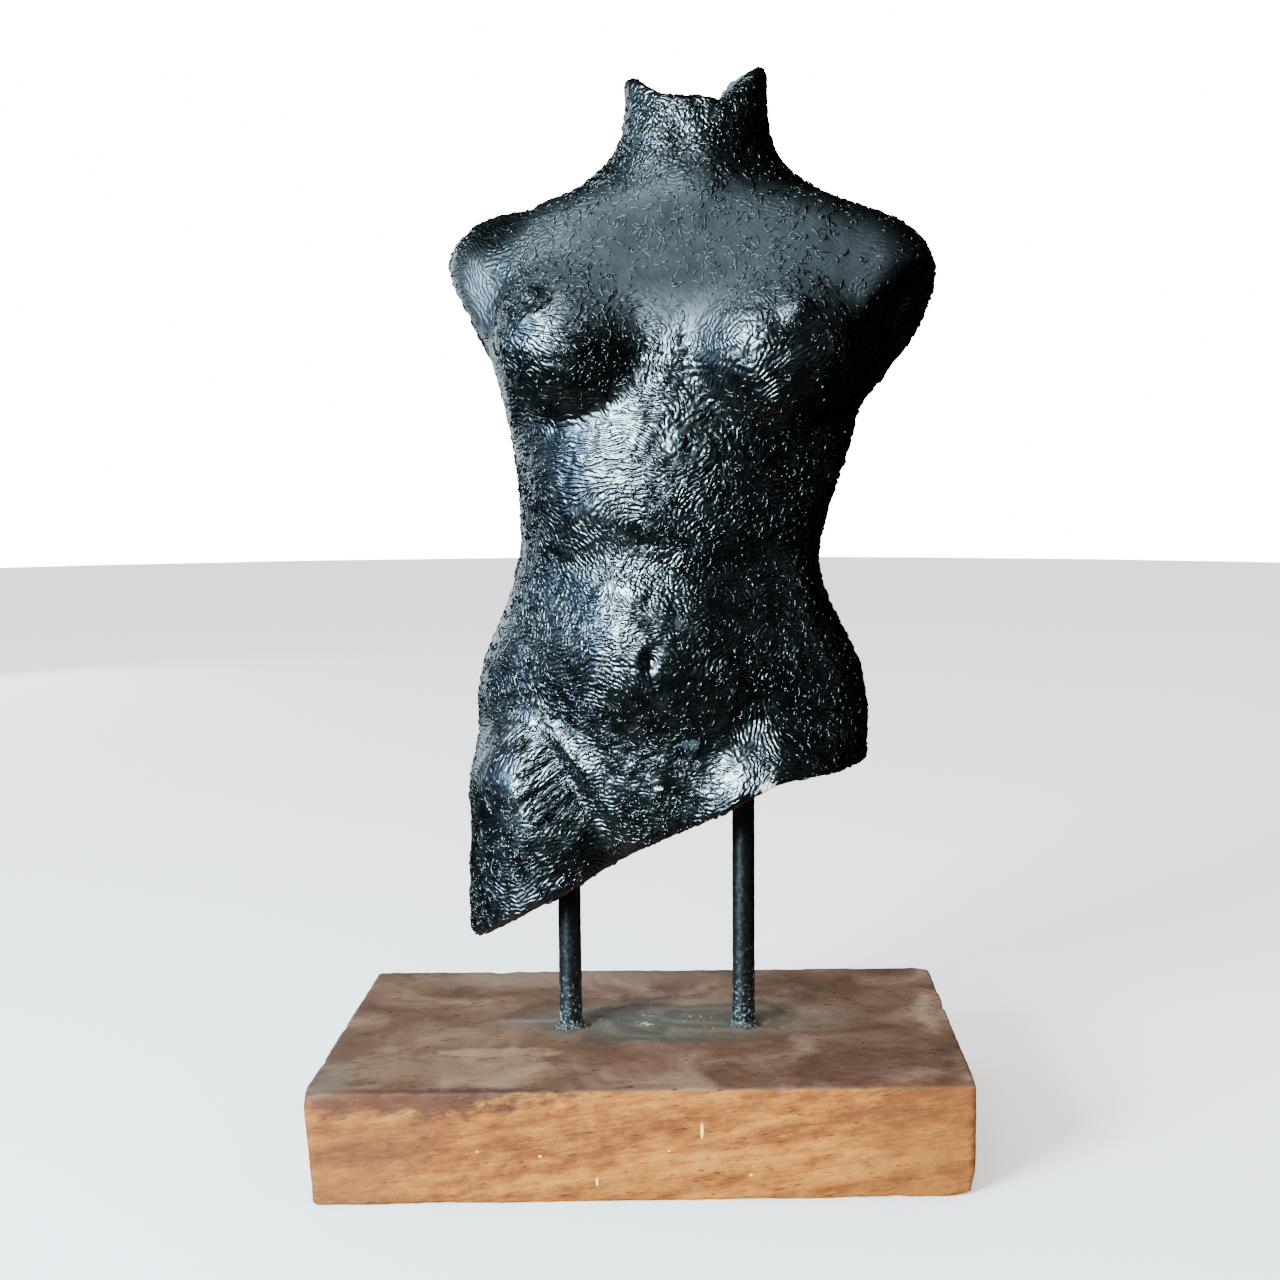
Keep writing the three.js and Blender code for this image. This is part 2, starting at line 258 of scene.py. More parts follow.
def black_paint(name, dulling, ridged):
    """Thick black gloss paint. To the eye it is a near black that shows only by its highlights: sharp
    on the ridges, broad and grey where it dried matt, by up to the dulling more rough."""
    material, tree = new_tree(name)
    place = add(tree, "TexCoord").outputs["Object"]
    crumbs = add(tree, "TexNoise", {"Vector": place, "Scale": per(2.2), "Detail": 2.0, "Distortion": 0.8})
    lumps = add(tree, "TexNoise", {"Vector": place, "Scale": per(7), "Detail": 2.0})
    matt, calm = 0.0, 0.0
    for centre, half, how_matt, how_smooth in MATT_PLACES:
        reach = reach_of(tree, place, centre, half)
        reach = add(tree, "Math", {0: lumps, 1: 0.6, 2: reach}, operation="MULTIPLY_ADD")
        amount = add(tree, "MapRange", {
            "Value": reach, "From Min": 0.8, "From Max": 1.6, "To Min": 1.0, "To Max": 0.0})
        dull = add(tree, "Math", {0: amount, 1: how_matt}, operation="MULTIPLY")
        matt = add(tree, "Math", {0: matt, 1: dull}, operation="MAXIMUM")
        smooth = add(tree, "Math", {0: amount, 1: how_smooth}, operation="MULTIPLY")
        calm = add(tree, "Math", {0: calm, 1: smooth}, operation="MAXIMUM")
    dust = add(tree, "TexNoise", {"Vector": place, "Scale": per(26), "Detail": 3.0, "Roughness": 0.65})
    colour = add(tree, "ValToRGB", {"Fac": dust}, ((0.35, "#010101"), (0.6, "#020303"), (0.78, "#090b0b")))
    for centre, half, tone, strength, ragged in PAINT_MARKS:
        reach = reach_of(tree, place, centre, half)
        reach = add(tree, "Math", {0: crumbs, 1: ragged * 2, 2: reach}, operation="MULTIPLY_ADD")
        colour = lay_mark(tree, colour, reach, (0.8 + ragged, 1.0 + ragged), strength, tone)
    gloss = add(tree, "MapRange", {
        "Value": lumps, "From Min": 0.3, "From Max": 0.7, "To Min": 0.2, "To Max": 0.34})
    gloss = add(tree, "Math", {0: matt, 1: dulling, 2: gloss}, operation="MULTIPLY_ADD")
    bumps = add(tree, "Bump", {"Strength": 0.4, "Distance": 0.4 * MM, "Height": crumbs})
    if ridged:
        depth = add(tree, "MapRange", {
            "Value": lumps, "From Min": 0.3, "From Max": 0.6, "To Min": 0.6, "To Max": 1.0})
        depth = add(tree, "Math", {0: depth, 1: calm}, operation="SUBTRACT")
        depth = add(tree, "Math", {0: depth, 1: RIDGE_DEPTH}, operation="MULTIPLY")
        ridges = flowing_ridges(tree, place)
        bumps = add(tree, "Bump", {"Strength": 1.0, "Distance": depth, "Height": ridges, "Normal": bumps})
    shader = add(tree, "BsdfPrincipled", {
        "Base Color": colour, "Roughness": gloss, "IOR": 1.6, "Specular IOR Level": 0.7, "Normal": bumps})
    add(tree, "OutputMaterial", {"Surface": shader})
    return material


paint = black_paint("black_gloss_paint", 0.66, ridged=True)
crumb_paint = black_paint("glossy_crumb_paint", 0.3, ridged=False)
print("Ridges of", RIDGE_SPACING, "mm")

# %% [markdown]
# The torso is a field: a number for every place in space, below zero inside the body. Its space is
# thousandths of the torso's height. An ellipsoid or a tapering limb gives about the distance to its
# own skin, and a smooth minimum of two such fields joins them as a modeller's thumb joins clay.

# %% The field's building stones
def ellipsoid(p, centre, radii):
    """About the distance to an ellipsoid: k (k - 1) / m, with k the length of the offset in radii and
    m that of the offset in squared radii."""
    offset = (p - np.array(centre, float)) / np.array(radii, float)
    near = np.linalg.norm(offset, axis=-1)
    slope = np.linalg.norm(offset / np.array(radii, float), axis=-1) + 1e-9
    return near * (near - 1) / slope


def limb(p, a, b, radius_a, radius_b):
    """The distance to the line from a to b, less a radius that changes evenly along it."""
    a = np.array(a, float)
    along = np.array(b, float) - a
    share = np.clip((p - a) @ along / (along @ along), 0, 1)
    offset = p - a - share[..., None] * along
    return np.linalg.norm(offset, axis=-1) - radius_a - share * (radius_b - radius_a)


def join(d, other, soft):
    """The smaller of two fields, less a quarter of soft where they are equal."""
    overlap = np.maximum(soft - np.abs(d - other), 0) / soft
    return np.minimum(d, other) - overlap * overlap * soft / 4


def carve(d, tool, soft):
    """What is left of d after tool is taken away, with an edge rounded over soft."""
    return -join(-d, tool, soft)


def hump(x, middle, width):
    """A smooth bump of height one round middle."""
    return np.exp(-(((x - middle) / width) ** 2))


# %% [markdown]
# The forms follow how the body is built: ribcage, waist and pelvis first, then belly, hips, back, neck,
# the stumps of the arms and the breasts. The chest leans to the figure's left, over the shorter hip.
# The hollows of navel and groin are carved last, and then the cuts at neck and hips.

# %% The body as a formula
CHEST_X = 28
NECK_X = 33
SIDES = (-1, 1)


def trunk(p):
    """Three stacked ellipsoids for ribcage, waist and pelvis, a limb across the shoulders and a shallow
    ellipsoid for the upper chest, joined softly."""
    ribcage = ellipsoid(p, (12, 2, 645), (206, 108, 228))
    waist = ellipsoid(p, (-6, 6, 440), (172, 94, 190))
    pelvis = ellipsoid(p, (-4, 16, 272), (234, 112, 200))
    shoulders = limb(p, (CHEST_X - 118, 20, 778), (CHEST_X + 128, 20, 786), 56, 58)
    upper_chest = ellipsoid(p, (CHEST_X, -26, 712), (146, 75, 104))
    flanks = join(join(ribcage, waist, 60), pelvis, 60)
    return join(join(flanks, shoulders, 64), upper_chest, 40)


def add_belly(p, d):
    """Three ellipsoids down the front: under the ribs, round the navel and over the pubis."""
    d = join(d, ellipsoid(p, (-2, -42, 535), (122, 68, 112)), 50)
    d = join(d, ellipsoid(p, (-8, -47, 346), (100, 75, 92)), 56)
    return join(d, ellipsoid(p, (0, -18, 178), (126, 76, 122)), 46)


def add_hips(p, d):
    """On each side an ellipsoid for the buttock and a limb, widening upwards, for the thigh."""
    for side in SIDES:
        buttock = ellipsoid(p, (side * 96, 74, 205), (112, 86, 112))
        thigh = limb(p, (side * 126 - 4, 2, 175), (side * 142 - 4, -4, -60), 113, 97)
        d = join(join(d, buttock, 26), thigh, 22)
    return d


def add_back(p, d):
    """An ellipsoid for each shoulder blade and a limb for each loin, less a limb along the spine."""
    for side in SIDES:
        shoulder_blade = ellipsoid(p, (CHEST_X + side * 100, 74, 712), (80, 46, 108))
        loin = limb(p, (side * 34, 74, 330), (CHEST_X + side * 40, 84, 600), 34, 36)
        d = join(join(d, shoulder_blade, 56), loin, 50)
    return carve(d, limb(p, (0, 135, 310), (CHEST_X, 143, 780), 20, 20), 34)


def add_neck(p, d):
    """A limb that narrows upwards, and on each side limbs for the slope to the shoulder, the muscle to
    the breastbone and the collar bone."""
    d = join(d, limb(p, (20, 24, 820), (46, 2, 1080), 99, 60), 56)
    for side, thickness in ((-1, 1), (1, 0.9)):
        nape = (NECK_X + side * 6, 28, 876)
        slope = limb(p, nape, (CHEST_X + side * 176, 20, 800), 50 * thickness, 38 * thickness)
        muscle = limb(p, (NECK_X + side * 56, -10, 985), (NECK_X + side * 16, -66, 858), 16, 14)
        collar_bone = limb(p, (NECK_X + side * 26, -64, 838), (CHEST_X + side * 150, -32, 830), 12, 14)
        d = join(join(join(d, slope, 52), muscle, 34), collar_bone, 46)
    return d


# %% [markdown]
# Each arm ends in a slanted break that was scooped out a little. The break is a plane that cuts the arm
# alone, before it joins the trunk, so the plane can't reach the hips.

# %% Stumps of the arms, breasts and hollows
STUMPS = (
    {"side": -1, "shoulder": (CHEST_X - 216, 14, 765), "end": (CHEST_X - 224, 2, 680),
     "radii": (79, 66), "scoop": (-272, 4, 734),
     "break_point": (-270, 0, 778), "break_faces": (-0.8, -0.3, -0.5)},
    {"side": 1, "shoulder": (CHEST_X + 204, 14, 762), "end": (CHEST_X + 226, 2, 680),
     "radii": (73, 66), "scoop": (300, -14, 726),
     "break_point": (300, 0, 778), "break_faces": (0.74, -0.38, -0.56)},
)
BREASTS = (
    {"side": -1, "centre": (-92, -68, 696), "nipple": (-118, -135, 736)},
    {"side": 1, "centre": (136, -66, 684), "nipple": (170, -126, 720)},
)


def add_arms(p, d):
    """Two limbs for each stump, cut off by a plane, which is the distance along the way that the break
    faces, and then scooped out by an ellipsoid."""
    for stump in STUMPS:
        upper_arm = limb(p, stump["shoulder"], stump["end"], *stump["radii"])
        root = limb(p, (CHEST_X + stump["side"] * 90, 18, 766), stump["shoulder"], 52, 62)
        faces = np.array(stump["break_faces"])
        beyond = (p - np.array(stump["break_point"])) @ (faces / np.linalg.norm(faces))
        broken = carve(join(upper_arm, root, 20), -beyond, 12)
        d = join(d, carve(broken, ellipsoid(p, stump["scoop"], (44, 34, 50)), 14), 38)
    return d


def add_breasts(p, d):
    """On each side ellipsoids for the slope above, the cup and the nipple, each joined more tightly."""
    for breast in BREASTS:
        x, y, z = breast["centre"]
        slope = ellipsoid(p, (x - breast["side"] * 4, y + 22, z + 52), (82, 50, 82))
        cup = ellipsoid(p, breast["centre"], (90, 78, 88))
        nipple = ellipsoid(p, breast["nipple"], (12, 15, 12))
        d = join(join(join(d, slope, 52), cup, 18), nipple, 14)
    return d


def carve_hollows(p, d):
    """The body less an ellipsoid for the navel and a limb along each groin."""
    d = carve(d, ellipsoid(p, (6, -127, 344), (5, 9, 8)), 11)
    d = carve(d, limb(p, (-158, -93, 284), (-32, -117, 96), 13, 32), 6)
    return carve(d, limb(p, (178, -100, 296), (96, -124, 160), 7, 9), 13)


def whole_body(p):
    """The trunk with every form joined to it in turn and the hollows carved, before the two cuts."""
    seated = add_hips(p, add_belly(p, trunk(p)))
    upper = add_arms(p, add_neck(p, add_back(p, seated)))
    return carve_hollows(p, add_breasts(p, upper))


# %% [markdown]
# The neck ends in a saddle, low in front with a horn at each side, and the hips in a slant that leaves
# the right thigh long and the left hip high. Both are heights over the ground plan, which makes it easy
# to ask on which side of a cut a point lies.

# %% The two cuts
HORN_HEIGHT = 997


def neck_cut_height(x, y):
    """A saddle turned with the figure: it rises with the cube of the distance to one side and in a ramp
    to the other, falls off past the rim and stays under the blunt tips of the horns."""
    turn = np.radians(18)
    across = (x - NECK_X) * np.cos(turn) + y * np.sin(turn)
    back = y * np.cos(turn) - (x - NECK_X) * np.sin(turn)
    share = across / 77
    rise = np.where(share < 0, -40 * share ** 3, 100 * np.maximum(share - 0.34, 0))
    rounding = 100 * np.maximum(np.abs(share) - 0.92, 0)
    saddle = 959 + rise - rounding + 0.26 * back * np.clip(across / 60, 0, 1)
    return join(saddle, HORN_HEIGHT + 4 * share, 14)


def hip_cut_height(x):
    """A parabola across the hips, plus three humps for the waves that the saw or the break left."""
    slant = 130 + 0.484 * x - 0.00046 * x * x
    return slant + 13 * hump(x, 150, 55) - 6 * hump(x, -100, 60) + 26 * hump(x, -258, 28)


def torso_field(p):
    """The body above the hip cut and below the neck cut. A height over a sloping cut is more than the
    distance to it, so it is scaled down a little."""
    above_hips = carve(whole_body(p), (p[..., 2] - hip_cut_height(p[..., 0])) * 0.9, 7)
    return carve(above_hips, (neck_cut_height(p[..., 0], p[..., 1]) - p[..., 2]) * 0.8, 8)


# %% [markdown]
# The skin is where rays from an axis inside the body leave the field. Halving the stretch between a
# point inside and one outside finds it for a whole grid of rays at once. From row to row the foot of the
# rays climbs the axis while they swing from straight down to straight up, and one row of points follows
# the rim of each cut, so that the rims stay crisp.

# %% The skin of the torso
COLUMNS = 310
ROWS = 318
HIP_FOOT, CHEST_FOOT, NECK_FOOT = 300, 640, 885
AXIS_HEIGHTS = (350, 650, 880)  # where the axis starts to lean, bends, and ends
RAY_REACH = 480
COLUMN_GATHER = -0.02  # draws the columns together a little at the front and back
HALVINGS = 24


def bisect(start, end, keeps):
    """Halves the stretch from start to end, elementwise, keeping the change of keeps inside it."""
    for _ in range(HALVINGS):
        middle = (start + end) / 2
        kept = keeps(middle)
        start, end = np.where(kept, middle, start), np.where(kept, end, middle)
    return start


def leave(field, height, angle, tilt):
    """Where the rays from the axis at a height, with an angle and a tilt in degrees, leave the field."""
    height, angle, tilt = np.broadcast_arrays(height, angle, np.radians(tilt))
    axis_x = np.interp(height, AXIS_HEIGHTS, (0, 24, NECK_X))
    axis_y = np.interp(height, AXIS_HEIGHTS[1:], (0, 8))
    foot = np.stack([axis_x, axis_y, height], -1)
    ray = np.stack([np.cos(tilt) * np.cos(angle), np.cos(tilt) * np.sin(angle), np.sin(tilt)], -1)
    start = np.zeros(angle.shape)
    distance = bisect(start, start + RAY_REACH, lambda r: field(foot + r[..., None] * ray) < 0)
    return foot + distance[..., None] * ray


def below_hip_cut(tilt):
    """Whether the skin that rays from the hips meet at this tilt lies under the hip cut."""
    skin = leave(whole_body, HIP_FOOT, column_angle, tilt)
    return skin[..., 2] < hip_cut_height(skin[..., 0])


def above_neck_cut(tilt):
    """Whether the skin that rays from the neck meet at this tilt lies over the neck cut."""
    skin = leave(whole_body, NECK_FOOT, column_angle, tilt)
    return skin[..., 2] > neck_cut_height(skin[..., 0], skin[..., 1])


turn_of_column = np.arange(COLUMNS) / COLUMNS * 2 * np.pi
column_angle = turn_of_column - COLUMN_GATHER * np.sin(2 * turn_of_column)
hip_rim = bisect(np.full(COLUMNS, -88.0), np.zeros(COLUMNS), below_hip_cut)
neck_rim = bisect(np.full(COLUMNS, 86.0), np.full(COLUMNS, 12.0), above_neck_cut)
row_share = np.arange(ROWS + 1) / ROWS
tilt_at = (0, 0.13, 0.28, 0.52, 0.72, 0.84, 0.93, 1)
flat = np.zeros(COLUMNS)
tilt_stops = np.stack([flat - 90, hip_rim, flat, flat, flat + 47, flat + 12, neck_rim, flat + 90])
tilts = np.stack([np.interp(row_share, tilt_at, stops) for stops in tilt_stops.T], -1)
feet = np.interp(row_share, (0.28, 0.52, 0.72, 0.84), (HIP_FOOT, CHEST_FOOT, CHEST_FOOT, NECK_FOOT))
skin = leave(torso_field, feet[:, None], column_angle[None, :], tilts)
print("The skin has", skin.shape[0] * skin.shape[1], "points")

# %% [markdown]
# The formula's own units become millimetres by the height of the torso. The figure is turned a little
# to its left on the plinth, and moved to stand over the rods, exactly as in the fixed model.

# %% Stand the skin where the fixed model's torso stands
TORSO_TURN = np.radians(-12)
TORSO_HEIGHT = 350
TORSO_FOOT = (10, 0, 81.6)


def turned(points, angle):
    """Points turned about the upright axis."""
    x, y, z = np.moveaxis(points, -1, 0)
    return np.stack([x * np.cos(angle) - y * np.sin(angle), x * np.sin(angle) + y * np.cos(angle), z], -1)


def outward(points):
    """Unit normals of a grid: the cross product of its steps along columns and along rows."""
    along = np.roll(points, -1, 1) - np.roll(points, 1, 1)
    up = np.gradient(points, axis=0)
    normal = np.cross(along, up)
    return normal / (np.linalg.norm(normal, axis=-1, keepdims=True) + 1e-9)


body_skin = turned(skin, TORSO_TURN) * TORSO_HEIGHT / 1000 + TORSO_FOOT
normals = outward(body_skin)
print("Low corner", body_skin.min((0, 1)).round(1), "against the fixed model's", torso_low.round(1))
print("High corner", body_skin.max((0, 1)).round(1), "against", torso_high.round(1))

# %% [markdown]
# The clay under the paint is lumpy from the modelling tool, and the thick paint lies on it in folds.
# What is wide enough for the mesh to carry is real relief: broad lumps, finger dabs and folds, each a
# sum of random waves. The narrower wrinkles are left to the paint's material.

# %% Relief of clay and paint
LUMPS = ((26, 0.16), (11, 0.10), (5.5, 0.09))  # wavelength and height, in millimetres
FOLD_SPACING = 4.2
FOLD_HEIGHT = 0.07


def relief(points):
    """Lumps of several sizes, plus folds: a sine of a direction that slow waves bend."""
    height = sum(size * ripple(points, wavelength, seed)
                 for seed, (wavelength, size) in enumerate(LUMPS))
    bend = ripple(points, 45, 11) + 0.5 * ripple(points, 18, 12)
    across = points @ np.array([0.55, 0.3, 0.8]) + 5 * bend
    return height + FOLD_HEIGHT * np.sin(across * 2 * np.pi / FOLD_SPACING)


rough_skin = body_skin + relief(body_skin)[..., None] * normals
points, quads, triangles = closed_surface(rough_skin[0, 0], rough_skin[1:-1], rough_skin[-1, 0])
torso = make_piece("black_torso", points, quads, triangles, paint)
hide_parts("torso")

# %% [markdown]
# Curled crumbs of paint stand on the skin by the thousand, each a few millimetres long. One crumb is a
# short walk over the grid of the skin, whose heading turns at a steady rate, with a low three-sided
# section carried along it. All of them walk at once, as arrays.

# %% Curled crumbs of paint
CRUMBS = 6200  # in each of the two pieces, which keeps both under 200,000 triangles
CRUMB_STEPS = 6
CRUMB_LENGTH = (1.8, 6.0)
CRUMB_WIDTH = (0.7, 1.2)
CRUMB_HEIGHT = (0.35, 0.75)


def sample(grid, row, column):
    """Bilinear values of a grid at fractional rows and columns, wrapping round the columns."""
    row = np.clip(row, 1, grid.shape[0] - 2.001)
    r, c = np.floor(row).astype(int), np.floor(column).astype(int)
    fr, fc = (row - r)[..., None], (column - c)[..., None]
    c, after = c % grid.shape[1], (c + 1) % grid.shape[1]
    lower = grid[r, c] * (1 - fc) + grid[r, after] * fc
    upper = grid[r + 1, c] * (1 - fc) + grid[r + 1, after] * fc
    return lower * (1 - fr) + upper * fr


def unit(vectors):
    """Vectors divided by their own lengths."""
    return vectors / (np.linalg.norm(vectors, axis=-1, keepdims=True) + 1e-9)


def walk_over_skin(random):
    """Places, headings and normals of all crumbs, step by step over the grid of the skin."""
    step_along = np.roll(rough_skin, -1, 1) - rough_skin
    step_up = np.gradient(rough_skin, axis=0)
    cell = np.linalg.norm(np.cross(step_along, step_up), axis=-1)
    thick = np.clip(0.6 + 0.4 * ripple(rough_skin, 60, 7), 0.1, 1.2)
    share = (cell * thick)[2:-2]
    chosen = random.choice(share.size, CRUMBS, p=share.ravel() / share.sum())
    row = chosen // COLUMNS + 2 + random.uniform(0, 1, CRUMBS)
    column = chosen % COLUMNS + random.uniform(0, 1, CRUMBS)
    length = random.uniform(*CRUMB_LENGTH, CRUMBS)
    heading = random.uniform(0, 2 * np.pi, CRUMBS)
    curl = random.normal(0, 0.45, CRUMBS)
    track = []
    for _ in range(CRUMB_STEPS):
        place, along, up = (sample(grid, row, column) for grid in (rough_skin, step_along, step_up))
        level = unit(along)
        normal = unit(np.cross(along, up))
        rising = np.cross(normal, level)
        forward = np.cos(heading)[:, None] * level + np.sin(heading)[:, None] * rising
        track.append((place, forward, normal))
        step = length / (CRUMB_STEPS - 1)
        rows_moved = step * np.sin(heading) / np.maximum((up * rising).sum(-1), 0.2)
        sideways = step * np.cos(heading) - rows_moved * (up * level).sum(-1)
        row = row + rows_moved
        column = column + sideways / np.maximum(np.linalg.norm(along, axis=-1), 0.2)
        heading = heading + curl
    return (np.stack(parts, 1) for parts in zip(*track))


def paint_crumbs(seed):
    """Every crumb as rings of three points, foot, crest and foot, narrowing to a point at each end."""
    random = np.random.default_rng(seed)
    place, forward, normal = walk_over_skin(random)
    width = random.uniform(*CRUMB_WIDTH, (CRUMBS, 1, 1))
    height = random.uniform(*CRUMB_HEIGHT, (CRUMBS, 1, 1))
    swell = np.sin(np.linspace(0.12, 0.9, CRUMB_STEPS) * np.pi)[None, :, None]
    side = np.cross(normal, forward) * width * swell / 2
    foot = place - normal * 0.2
    crest = place + normal * height * swell
    rings = np.stack([foot - side, foot + side, crest], 2)
    points = rings.reshape(-1, 3)
    per_crumb = CRUMB_STEPS * 3
    starts = (np.arange(CRUMBS) * per_crumb)[:, None, None]
    quads = (starts + grid_faces(CRUMB_STEPS, 3)).reshape(-1, 4)
    ends = np.array([[0, 2, 1], [per_crumb - 3, per_crumb - 2, per_crumb - 1]])
    triangles = (starts + ends).reshape(-1, 3)
    return points, quads, triangles


for number, seed in (("first", 5), ("second", 6)):
    crumbs = make_piece(f"paint_crumbs_{number}_coat", *paint_crumbs(seed), crumb_paint)

# %% [markdown]
# The plinth is a plain hardwood block, sawn, oiled and since then handled, dusty and scuffed. Brown
# streaks follow the grain, which runs along the block, and short dark pores are stretched the same way.
# The top has lost its colour to dust and to the grey swirls that wiped glue left round the rods. Each
# stain, and the darkening of the front towards both ends, is a soft ellipsoid in the block's own space,
# whose rim noise makes ragged.

# %% Marks on the wood
# centre and half sizes in millimetres, the colour, how strong it is, and how ragged its rim is
WOOD_MARKS = (
    ((-84, -76, 42), (72, 6, 10), "#2c1411", 0.85, 0.9),
    ((-118, -60, 44), (12, 30, 4), "#5a4a3c", 0.6, 0.8),
    # the next two darken the front towards its left and right ends
    ((-110, -76, 16), (50, 6, 60), "#5a2f16", 0.4, 0.6),
    ((112, -76, 20), (44, 6, 60), "#60340f", 0.4, 0.6),
    ((-78, -50, 45), (52, 24, 5), "#6b5038", 0.55, 1.7),
    ((-60, -34, 45), (32, 8, 5), "#86694e", 0.45, 1.5),
    ((-30, 64, 45), (110, 20, 5), "#6d5646", 0.7, 0.6),
    ((74, -52, 45), (66, 26, 5), "#381d14", 0.6, 0.8),
    ((8, 6, 45), (86, 34, 8), "#3f3b31", 0.75, 0.5),
    ((-10, 6, 45), (44, 18, 5), "#3e3f38", 0.6, 0.8),
    ((4, -17, 45), (50, 9, 4), "#3c3a34", 0.6, 0.8),
    ((-50, 5, 45), (20, 4, 3), "#5d6062", 0.55, 1.0),
    ((126, -70, 20), (5, 8, 30), "#24120c", 0.6, 0.6),
)
FLECKS = (
    ((22.6, -76, 27.6), (0.6, 2, 3.1)), ((-17.0, -76, 8.2), (0.5, 2, 1.6)),
    ((-38.3, -76, 18.3), (0.7, 2, 0.5)), ((10.2, -76, 19.9), (0.4, 2, 0.4)),
    ((41.1, -76, 10.1), (0.6, 2, 0.6)), ((-61.8, -76, 20.5), (0.4, 2, 0.4)),
)
print(len(WOOD_MARKS), "stains and", len(FLECKS), "flecks")

# %% [markdown]
# One noise, stretched along the grain at three widths, gives the figure, the mottling and the fibres.
# The grain climbs a little to the right, so the block's own coordinates are turned before they are
# stretched. The side keeps its warm colour, the worn top is browner and greyer.

# %% Oiled hardwood
GRAIN_STRETCH = 13.0  # the pattern is this many times as long along the grain as across it
GRAIN_TILT = (0, np.radians(-8), np.radians(3))  # the grain climbs a little to the right
SWIRL_DENSITY = 17.0  # radians of the swirls' waves for each half size of their ellipse
GRIT_MIDDLE = (4, 6, 44)
GRIT_HALF = (38, 17, 3)


